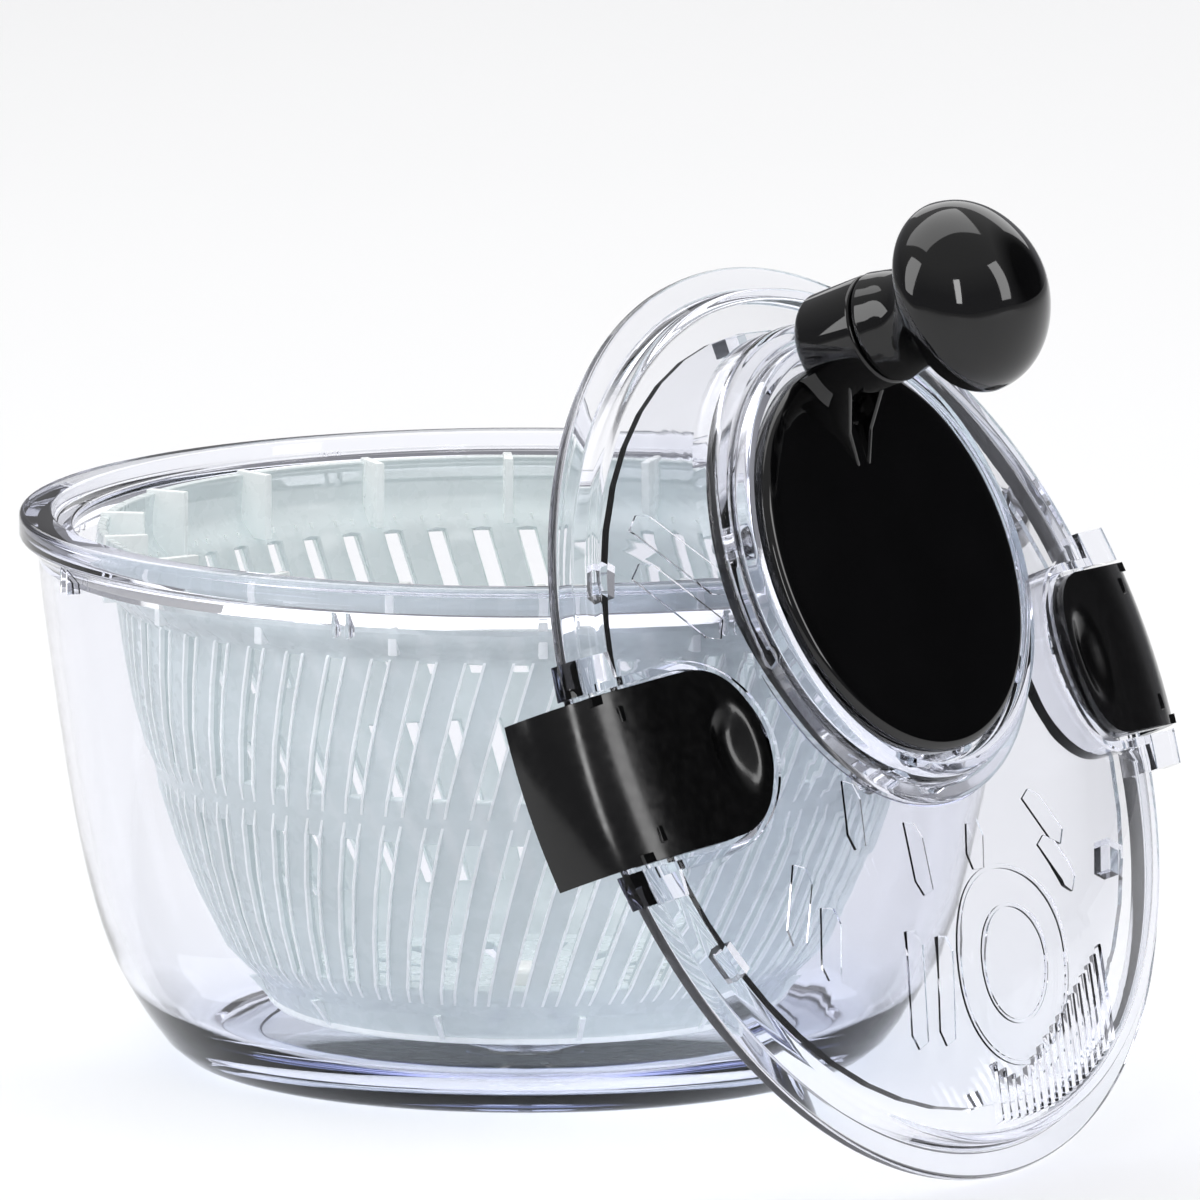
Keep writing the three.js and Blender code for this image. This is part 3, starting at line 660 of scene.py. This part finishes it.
def mark(at, length, width, angle):
    """A slanted bar with clipped corners, seen from above."""
    a, b, c = length / 2, width / 2, min(width / 3, 1.6)
    points = [(-a + c, -b), (a - c * 2, -b), (a, -b + c * 1.4), (a, b), (-a + c * 2, b), (-a, b - c * 1.4)]
    bar = plate(points, 0, 40)
    turn(bar, math.radians(angle))
    bmesh.ops.translate(bar, verts=bar.verts, vec=(at[0], at[1], 0))
    return bar


LID_MARKS = [
    ((-64, 45), 27, 7, 128),
    ((-70, 35), 25, 7, 128),
    ((-40, -22), 16, 6, 70),
    ((-65, -38), 18, 6, 66),
    ((-58, -48), 16, 6, 75),
    ((-21, -35), 17, 6, 78),
    ((2, -35), 13, 6, 62),
    ((32, -33), 15, 6, 118),
    ((32, -44), 15, 6, 118),
    ((-33, -63), 26, 5.4, 82),
    ((-23, -65), 24, 5.4, 80),
]


def raised_marks():
    """Plain bars and a ring, standing a little proud of the dome."""
    rise = sizes().mark_rise / MM
    layer = turned([(30, 18.3), (57, 18.3), (99, dome_height(99) - 0.8), (99, dome_height(99) + rise),
                    (57, 19.1 + rise), (30, 19.1 + rise)], 180)
    bars = together(*[mark(*each) for each in LID_MARKS])
    rings = []
    for inner, outer in ((21.6, 22.6), (12.6, 13.4)):
        rings.append(turned([(inner, 0), (outer, 0), (outer, 40), (inner, 40)], 72, (5, -63)))
    cutter = together(bars, *rings)
    return combine(layer, ("INTERSECT", cutter))


def drain_slots():
    cuts = []
    for i in range(17):
        u = -8 + i * 3.3
        low = -math.sqrt(96.5**2 - u**2)
        high = max(-88 + 0.55 * abs(u - 1), low + 5)
        cuts.append(block((u - 0.8, u + 0.8), (low, high), (3, 15), 0.3))
    return together(*cuts)


def lid_ears():
    ears = []
    for side in (-9.5, 9.5):
        across = (PIN_AT[0] - 2.6, PIN_AT[0] + 2.6)
        ears.append(block(across, (side - 1.5, side + 1.5), (2.6, PIN_AT[1]), 0.2))
        eye = rod(2.6, -1.45, 1.45, steps=32)
        turn(eye, math.pi / 2, "X")
        bmesh.ops.translate(eye, verts=eye.verts, vec=(PIN_AT[0], side, PIN_AT[1]))
        ears.append(eye)
    return ears


SCREWS_AT = [(-13.5, -13), (13.5, -13), (-34.5, 45), (34.5, 45)]


def build_lid():
    steps = sizes().turn_steps
    well_at = (0, GEAR_SPACING)
    dome = turned([(0, 16.9), (57, 16.9, 9), (98.2, 6.6, 0.8), (98.6, 4), (98.6, 0, 0.5), (107.5, 0, 0.5),
                   (107.5, 2.6, 0.9), (101.8, 2.6, 0.5), (*DOME_STEP, 0.9), (57, DOME_TOP, 9),
                   (0, DOME_TOP)], steps)
    inside = turned([(0, -20), (98.4, -20), (98.2, 6.6), (57, 16.9, 9), (0, 16.9)], steps)
    tub = turned([(9.6, 16.4), (57, 16.4, 0.8), (57, 19.6, 1.6), (52.2, 20.6, 1.2), (51.4, 24.8, 0.9),
                  (48.3, 24.8, 0.9), (48.3, 18.6, 1.2), (9.6, 18.6, 0.3)], 144, well_at)
    drum = turned([(54.8, 4), (57, 4), (57, 17.6), (54.8, 17.6)], 144, well_at)
    bosses = together(*[rod(3.5, 9.4, 17, at) for at in SCREWS_AT])
    bores = together(rod(2.8, 10, 19.4), *[rod(1.6, 5, 14.6, at) for at in SCREWS_AT])
    pocket, hollow = pocket_solids()
    lid = combine(
        dome,
        ("UNION", raised_marks()),
        ("DIFFERENCE", rod(56.2, -10, 40, well_at, 144)),
        ("UNION", tub),
        ("UNION", combine(drum, ("DIFFERENCE", inside))),
        ("UNION", rod(5, 18.1, 20.4)),
        ("UNION", bosses),
        ("UNION", both_sides(pocket)),
        ("DIFFERENCE", both_sides(hollow)),
        *[("UNION", both_sides(ear)) for ear in lid_ears()],
        ("DIFFERENCE", bores),
        ("DIFFERENCE", drain_slots()),
    )
    show("clear_lid", lid, finish_of("clear_lid"), "lid", ["lid_shell"], ON_LID)


# ---------------------------------------------------------------- crank
def build_crank():
    about = (0, GEAR_SPACING)
    disc = turned([
        (0, 19.4), (4.4, 19.4, 0.3), (4.4, 7.6), (7.2, 7.6, 0.2), (7.2, 8.3), (6.2, 8.3),
        (6.2, 9.2), (7.2, 9.2), (7.2, 21.2, 0.5), (9, 22), (43.6, 23), (44.2, 21.4, 0.3),
        (46, 21.4, 0.5), (46, 24.9, 0.6),
        (44.8, 26, 0.8), (42, 26.4, 1.2), (38, 26.1, 2.0), (20, 25.4, 4.0), (0, 25.2),
    ], sizes().turn_steps, about)
    knob_at = (0, KNOB_AT)
    r = COLLAR_RADIUS
    collar = turned([(0, 25.4), (r - 1.6, 25.4, 0.8), (r, 27.3, 0.8), (r, KNOB_JOINT, 0.8),
                     (0, KNOB_JOINT)], 96, knob_at)
    foot = turned([(0, 24.6), (r + 2.6, 24.8), (r + 0.9, 27, 1.2), (r - 0.2, 29.5, 1.2),
                   (0, 29.5)], 96, knob_at)
    bounds = turned([(0, 20), (45.4, 20), (45.4, 40), (0, 40)], 144, about)
    foot = combine(foot, ("INTERSECT", bounds))
    ribs = []
    for side in (-1, 1):
        web = plate([(0, -2), (26, -2), (12, 1.7), (0, 9)], -0.7, 0.7)
        bmesh.ops.bevel(web, geom=web.edges[:], offset=0.35, offset_type="OFFSET", affect="EDGES",
                        segments=2, profile=0.5, material=-1)
        turn(web, math.pi / 2, "X")
        turn(web, -math.pi / 2 - side * 0.29)
        bmesh.ops.translate(web, verts=web.verts, vec=(side * 7.6, KNOB_AT - 8.4, 25.8))
        ribs.append(web)
    show("crank_arm", together(disc, collar, foot, *ribs), finish_of("gloss_black"), "crank",
         ["crank_disc"], ON_LID)


def build_knob():
    z = KNOB_JOINT + 0.3
    waist = flow([(12.9, z + 1.2), (12.3, z + 4.4), (11.5, z + 9), (11.9, z + 12.4),
                  (13.8, z + 15), (17.2, z + 17), (20.5, z + 18.9), (22.1, z + 22), (22.1, z + 25),
                  (20.9, z + 29), (18.3, z + 32.9),
                  (14.3, z + 36.5), (9.6, z + 39.4), (4.7, z + 41.1), (0, z + 41.6)], 5)
    shell = turned([(0, z + 22), (7.8, z + 22), (7.8, z, 0.3), (12.3, z, 0.5), *waist], 144, (0, KNOB_AT))
    show("knob_grip", shell, finish_of("gloss_black"), "knob", ["knob_shell"], ON_LID, 40)


# ---------------------------------------------------------------- clips
CLIP_LINE = [(64, 20.1), (74, 18.3), (86, 16.1), (97, 14.1), (103, 12.6), (108, 10.9), (112.4, 8.6),
             (115.6, 5.8), (117.9, 2.4), (119.2, -1.2), (119.8, -5), (119.8, -8.2)]


def clip_cap():
    """The clip's bent outer skin, rounded at the finger end, as one sheet of squares."""
    line = [Vector(p) for p in flow(CLIP_LINE, 6)]
    reach = [0.0]
    for a, b in zip(line, line[1:]):
        reach.append(reach[-1] + (b - a).length)
    total = reach[-1]

    def at(distance):
        for i in range(len(line) - 1):
            if reach[i + 1] >= distance or i == len(line) - 2:
                share = (distance - reach[i]) / (reach[i + 1] - reach[i])
                return line[i].lerp(line[i + 1], min(max(share, 0), 1))

    along, over = 72, 40
    bm = bmesh.new()
    bmesh.ops.create_grid(bm, x_segments=along, y_segments=over, size=1)
    for v in bm.verts:
        lean = v.co.y * math.pi / 2
        side = LATCH_HALF * math.sin(lean)
        start = LATCH_HALF * (1 - math.cos(lean))
        distance = start + (total - start) * (v.co.x + 1) / 2
        point = at(distance)
        dent = ((point.x - 74) / 7) ** 2 + (side / 11.5) ** 2
        sink = 2.6 * (1 - dent) ** 1.5 if dent < 1 else 0
        angle = side / max(point.x, 1)
        v.co = Vector((point.x * math.cos(angle), point.x * math.sin(angle), point.y - sink))
    bmesh.ops.recalc_face_normals(bm, faces=bm.faces)
    if sum(f.normal.z for f in bm.faces) < 0:
        bmesh.ops.reverse_faces(bm, faces=bm.faces)
    return bm


def clip_fittings():
    """Skirt walls, hinge lugs and hook inside the clip."""
    parts = []
    half = LATCH_HALF
    for side in (-14, 14):
        across = (PIN_AT[0] - 2.8, PIN_AT[0] + 2.8)
        parts.append(block(across, (side - 2, side + 2), (PIN_AT[1], 12.6), 0.3))
        eye = turned([(1.6, -2), (2.8, -2, 0.2), (2.8, 2, 0.2), (1.6, 2)], 40)
        turn(eye, math.pi / 2, "X")
        bmesh.ops.translate(eye, verts=eye.verts, vec=(PIN_AT[0], side, PIN_AT[1]))
        parts.append(eye)
    hook = turned([(114.8, -8.2, 0.4), (119.2, -8.2), (119.2, -5), (117.4, -5), (114.8, -6.4, 0.3)], 360)
    keep = block((100, 130), (-half + 0.6, half - 0.6), (-12, 0))
    parts.append(combine(hook, ("INTERSECT", keep)))
    rim = combine(plate(clip_plan(0, 0), -5, 30), ("DIFFERENCE", plate(clip_plan(-2.2, 0), -6, 31)))
    band = turned([(60, 15.4), (111, 7.2), (111, 10.4), (60, 19.6)], 180)
    parts.append(combine(band, ("INTERSECT", rim)))
    return parts


def build_clips():
    opposite = ON_LID @ Matrix.Rotation(math.pi, 4, "Z")
    for name, node, place in (("right_clip", "latch_right", ON_LID), ("left_clip", "latch_left", opposite)):
        black = finish_of("satin_black")
        cap = show(name, clip_cap(), black, node, [node], place, 60)
        wall = cap.modifiers.new("wall", "SOLIDIFY")
        wall.thickness = 0.0021
        wall.offset = -1
        round_edges(cap, 0.5, 50, 3)
        fittings = together(*clip_fittings())
        show(f"{name}_hinge", fittings, black, node, (), place)


# ---------------------------------------------------------------- pieces kept from the frame
KEPT = {
    "gear_cover": "clear_lid",
    "drive_plate": "clear_lid",
    "crank_bush": "white_acetal",
    "pinion": "white_acetal",
    "crank_gear": "white_acetal",
    "cover_screw_1": "steel",
    "cover_screw_2": "steel",
    "cover_screw_3": "steel",
    "cover_screw_4": "steel",
    "drive_axle": "steel",
    "drive_clip": "steel",
    "gear_clip": "steel",
    "knob_pin": "steel",
    "knob_washer": "steel",
    "knob_core": "satin_black",
    "latch_pin_right": "steel",
    "latch_pin_left": "steel",
}


def dress_kept():
    """Assigns finishes through the objects' own slots, so the meshes from the frame stay untouched."""
    for node, finish in KEPT.items():
        slots = frame["nodes"][node].material_slots
        if not slots:
            raise RuntimeError(f"{node} has no material slot")
        for slot in slots:
            slot.link = "OBJECT"
            slot.material = finish_of(finish)


# ---------------------------------------------------------------- stage
def studio_world(above, low):
    """Soft light all round, dimmer near the horizon, with a dark side that the black disc mirrors."""
    world = bpy.data.worlds.new("studio")
    world.use_nodes = True
    tree = world.node_tree
    coordinates = tree.nodes.new("ShaderNodeTexCoord")
    split = tree.nodes.new("ShaderNodeSeparateXYZ")
    ramp = tree.nodes.new("ShaderNodeValToRGB")
    ramp.color_ramp.elements[0].position = 0.3
    ramp.color_ramp.elements[1].position = 0.75
    ramp.color_ramp.elements[0].color = (low, low, low * 1.05, 1)
    ramp.color_ramp.elements[1].color = (above, above, above, 1)
    tree.links.new(coordinates.outputs["Generated"], split.inputs["Vector"])
    tree.links.new(split.outputs["Z"], ramp.inputs["Fac"])
    toward = tree.nodes.new("ShaderNodeVectorMath")
    toward.operation = "DOT_PRODUCT"
    toward.inputs[1].default_value = (0.88, 0.39, 0.27)
    tree.links.new(coordinates.outputs["Generated"], toward.inputs[0])
    dark_side = tree.nodes.new("ShaderNodeMapRange")
    dark_side.inputs["From Min"].default_value = 0.78
    dark_side.inputs["From Max"].default_value = 0.93
    dark_side.inputs["To Min"].default_value = 1.0
    dark_side.inputs["To Max"].default_value = 0.1
    tree.links.new(toward.outputs["Value"], dark_side.inputs["Value"])
    shaded = tree.nodes.new("ShaderNodeVectorMath")
    shaded.operation = "SCALE"
    tree.links.new(ramp.outputs["Color"], shaded.inputs[0])
    tree.links.new(dark_side.outputs["Result"], shaded.inputs["Scale"])
    tree.links.new(shaded.outputs["Vector"], tree.nodes["Background"].inputs["Color"])
    return world


def build_stage():
    values = bpy.context.scene.spinner_stage
    bm = bmesh.new()
    bmesh.ops.create_grid(bm, x_segments=2, y_segments=2, size=9)
    bmesh.ops.translate(bm, verts=bm.verts, vec=(0, 0, -0.0006))
    mesh = bpy.data.meshes.new("floor")
    bm.to_mesh(mesh)
    bm.free()
    floor = bpy.data.objects.new("floor", mesh)
    m = Mix("pale_floor")
    body = m.node("ShaderNodeBsdfPrincipled", Roughness=0.7)
    tint = values.floor[:3]
    m.link(m.shades(m.noise(1.5, 2), shade(tint, 0.995), shade(tint, 1.005)), body.inputs["Base Color"])
    body.inputs["Specular IOR Level"].default_value = 0.15
    m.link(body.outputs["BSDF"], m.output.inputs["Surface"])
    mesh.materials.append(m.material)
    bpy.context.scene.collection.objects.link(floor)

    scene = bpy.context.scene
    scene.world = studio_world(values.ambient, values.horizon)
    for name, at, aim, size, power in (
        ("overhead", (-0.3, 0.5, 2.3), (0, 0, 0), (2.6, 1.8), values.overhead),
        ("left_window", (-1.9, -1.0, 1.3), (0, 0, 0.12), (0.9, 1.6), values.left_window),
        ("right_window", (1.9, -0.9, 1.1), (0.05, -0.1, 0.12), (0.5, 1.5), values.right_window),
        ("back_glow", (0.4, 2.4, 1.4), (0, 0, 0.1), (2.6, 1.2), values.back_glow),
        ("front_strip", (0.78, -2.3, 1.15), (0.05, -0.1, 0.12), (0.3, 1.1), values.front_strip),
    ):
        lamp = bpy.data.lights.new(name, "AREA")
        lamp.shape = "RECTANGLE"
        lamp.size, lamp.size_y = size
        lamp.energy = power
        holder = bpy.data.objects.new(name, lamp)
        holder.location = at
        holder.rotation_euler = (Vector(aim) - Vector(at)).to_track_quat("-Z", "Y").to_euler()
        scene.collection.objects.link(holder)

    camera = bpy.data.cameras.new("camera")
    camera.sensor_width = 36
    camera.lens = values.lens
    camera.clip_end = 60
    holder = bpy.data.objects.new("camera", camera)
    tilt = values.tilt
    aim = Vector(values.aim)
    back = Vector((0, -math.cos(tilt), math.sin(tilt)))
    holder.location = aim + back * values.distance
    holder.rotation_euler = (-back).to_track_quat("-Z", "Y").to_euler()
    scene.collection.objects.link(holder)
    scene.camera = holder
    scene.view_settings.view_transform = "Standard"
    scene.cycles.max_bounces = 28
    scene.cycles.transmission_bounces = 28
    scene.cycles.transparent_max_bounces = 32


# ---------------------------------------------------------------- settings
class SpinnerSizes(PropertyGroup):
    slot_count: IntProperty(name="Slots", description="Slots round each row of the basket",
                            default=54, min=12)
    turn_steps: IntProperty(name="Turn steps", description="Steps round the bowl and lid",
                            default=180, min=48)
    slot_lean: FloatProperty(name="Slot lean", description="Turn of the slots per millimetre of height",
                             default=0.0031, precision=4)
    basket_wall: FloatProperty(name="Basket wall", description="Thickness of the basket wall",
                               default=0.0021,
                               unit="LENGTH", precision=4)
    mark_rise: FloatProperty(name="Mark rise", description="Height of the raised marks on the lid",
                             default=0.00055, unit="LENGTH", precision=5)


class SpinnerColours(PropertyGroup):
    clear: FloatVectorProperty(name="Clear", description="Tint of the clear plastic",
                               subtype="COLOR", size=4,
                               default=(0.962, 0.966, 0.984, 1), min=0, max=1)
    edge_tint: FloatVectorProperty(name="Edge tint", description="Cast of clear plastic seen edge on",
                                   subtype="COLOR", size=4, default=(0.42, 0.5, 0.95, 1), min=0, max=1)
    edge_depth: FloatProperty(name="Edge depth", description="Strength of the edge tint per metre",
                              default=8)
    milky: FloatVectorProperty(name="Milky", description="Basket plastic", subtype="COLOR", size=4,
                               default=(0.64, 0.7, 0.71, 1), min=0, max=1)
    # whiter copy of the basket plastic: painted highlight on the slot fins, bars and foot
    milky_painted_light: FloatVectorProperty(name="Milky painted light", description="Bright edges of the basket's slots",
                                    subtype="COLOR", size=4, default=(0.9, 0.93, 0.93, 1), min=0, max=1)
    gloss: FloatVectorProperty(name="Gloss black", description="Crank and knob", subtype="COLOR", size=4,
                               default=(0.002, 0.002, 0.0023, 1), min=0, max=1)
    satin: FloatVectorProperty(name="Satin black", description="Clips and knob core",
                               subtype="COLOR", size=4,
                               default=(0.0016, 0.0016, 0.0018, 1), min=0, max=1)
    acetal: FloatVectorProperty(name="Acetal", description="Gears and bushes", subtype="COLOR", size=4,
                                default=(0.83, 0.83, 0.8, 1), min=0, max=1)
    ring: FloatVectorProperty(name="Foot band", description="Soft band under the bowl",
                              subtype="COLOR", size=4,
                              default=(0.8, 0.82, 0.9, 1), min=0, max=1)
    steel: FloatVectorProperty(name="Steel", description="Pins and screws", subtype="COLOR", size=4,
                               default=(0.62, 0.62, 0.63, 1), min=0, max=1)


class SpinnerStage(PropertyGroup):
    floor: FloatVectorProperty(name="Floor", description="Floor colour", subtype="COLOR", size=4,
                               default=(0.9, 0.9, 0.905, 1), min=0, max=1)
    ambient: FloatProperty(name="Ambient", description="Light from the sky overhead", default=0.5)
    horizon: FloatProperty(name="Horizon", description="Light from near the horizon", default=0.26)
    overhead: FloatProperty(name="Overhead", description="Light above", default=31, unit="POWER")
    left_window: FloatProperty(name="Left window", description="Light from the left",
                               default=18, unit="POWER")
    right_window: FloatProperty(name="Right window", description="Light from the right",
                                default=11, unit="POWER")
    back_glow: FloatProperty(name="Back glow", description="Light from behind", default=13, unit="POWER")
    front_strip: FloatProperty(name="Front strip", description="Narrow light in front",
                               default=9, unit="POWER")
    lens: FloatProperty(name="Lens", description="Focal length", default=648, unit="CAMERA")
    tilt: FloatProperty(name="Tilt", description="Camera angle above level", default=math.radians(9.6),
                        subtype="ANGLE")
    distance: FloatProperty(name="Distance", description="Camera to aim point",
                            default=5.0, unit="LENGTH")
    aim: FloatVectorProperty(name="Aim", description="Point the camera looks at", subtype="XYZ",
                             default=(0.0174, 0, 0.1062))


# ---------------------------------------------------------------- operators
class SPINNER_OT_stage(Operator):
    """Lay the floor, lights and camera."""

    bl_idname = "spinner.stage"
    bl_label = "Stage"
    bl_options = {"REGISTER", "UNDO"}

    def execute(self, context):
        build_stage()
        return {"FINISHED"}


class SPINNER_OT_bowl(Operator):
    """Model the clear bowl, its foot band and centre pin."""

    bl_idname = "spinner.bowl"
    bl_label = "Bowl"
    bl_options = {"REGISTER", "UNDO"}

    def execute(self, context):
        build_bowl()
        build_bowl_fittings()
        return {"FINISHED"}


class SPINNER_OT_basket(Operator):
    """Model the slotted basket and its centre cup."""

    bl_idname = "spinner.basket"
    bl_label = "Basket"
    bl_options = {"REGISTER", "UNDO"}

    def execute(self, context):
        build_basket()
        return {"FINISHED"}


class SPINNER_OT_lid(Operator):
    """Model the clear lid with its well, pockets and marks."""

    bl_idname = "spinner.lid"
    bl_label = "Lid"
    bl_options = {"REGISTER", "UNDO"}

    def execute(self, context):
        build_lid()
        return {"FINISHED"}


class SPINNER_OT_crank(Operator):
    """Model the black disc, its collar and ribs."""

    bl_idname = "spinner.crank"
    bl_label = "Crank"
    bl_options = {"REGISTER", "UNDO"}

    def execute(self, context):
        build_crank()
        return {"FINISHED"}


class SPINNER_OT_knob(Operator):
    """Model the knob."""

    bl_idname = "spinner.knob"
    bl_label = "Knob"
    bl_options = {"REGISTER", "UNDO"}

    def execute(self, context):
        build_knob()
        return {"FINISHED"}


class SPINNER_OT_clips(Operator):
    """Model the two rim clips."""

    bl_idname = "spinner.clips"
    bl_label = "Clips"
    bl_options = {"REGISTER", "UNDO"}

    def execute(self, context):
        build_clips()
        return {"FINISHED"}


class SPINNER_OT_kept(Operator):
    """Give the gears, pins and screws their finishes."""

    bl_idname = "spinner.kept"
    bl_label = "Kept pieces"
    bl_options = {"REGISTER", "UNDO"}

    def execute(self, context):
        dress_kept()
        return {"FINISHED"}


OPERATORS = [
    SPINNER_OT_stage,
    SPINNER_OT_bowl,
    SPINNER_OT_basket,
    SPINNER_OT_lid,
    SPINNER_OT_crank,
    SPINNER_OT_knob,
    SPINNER_OT_clips,
    SPINNER_OT_kept,
]


class SPINNER_PT_build(Panel):
    """Lists the spinner's pieces and settings."""

    bl_label = "Salad Spinner"
    bl_idname = "SPINNER_PT_build"
    bl_space_type = "VIEW_3D"
    bl_region_type = "UI"
    bl_category = "Spinner"

    def draw(self, context):
        for each in OPERATORS:
            self.layout.operator(each.bl_idname)
        scene = context.scene
        for group in (scene.spinner_sizes, scene.spinner_colours, scene.spinner_stage):
            for name in group.__annotations__:
                self.layout.prop(group, name)


CLASSES = [SpinnerSizes, SpinnerColours, SpinnerStage, *OPERATORS, SPINNER_PT_build]


def register():
    for each in CLASSES:
        bpy.utils.register_class(each)
    bpy.types.Scene.spinner_sizes = PointerProperty(type=SpinnerSizes)
    bpy.types.Scene.spinner_colours = PointerProperty(type=SpinnerColours)
    bpy.types.Scene.spinner_stage = PointerProperty(type=SpinnerStage)


def unregister():
    del bpy.types.Scene.spinner_stage
    del bpy.types.Scene.spinner_colours
    del bpy.types.Scene.spinner_sizes
    for each in reversed(CLASSES):
        bpy.utils.unregister_class(each)


def main():
    register()
    for each in OPERATORS:
        step = getattr(bpy.ops.spinner, each.bl_idname.split(".")[1])
        if step() != {"FINISHED"}:
            raise RuntimeError(f"{each.bl_label} wasn't built")


if __name__ == "__main__":
    main()
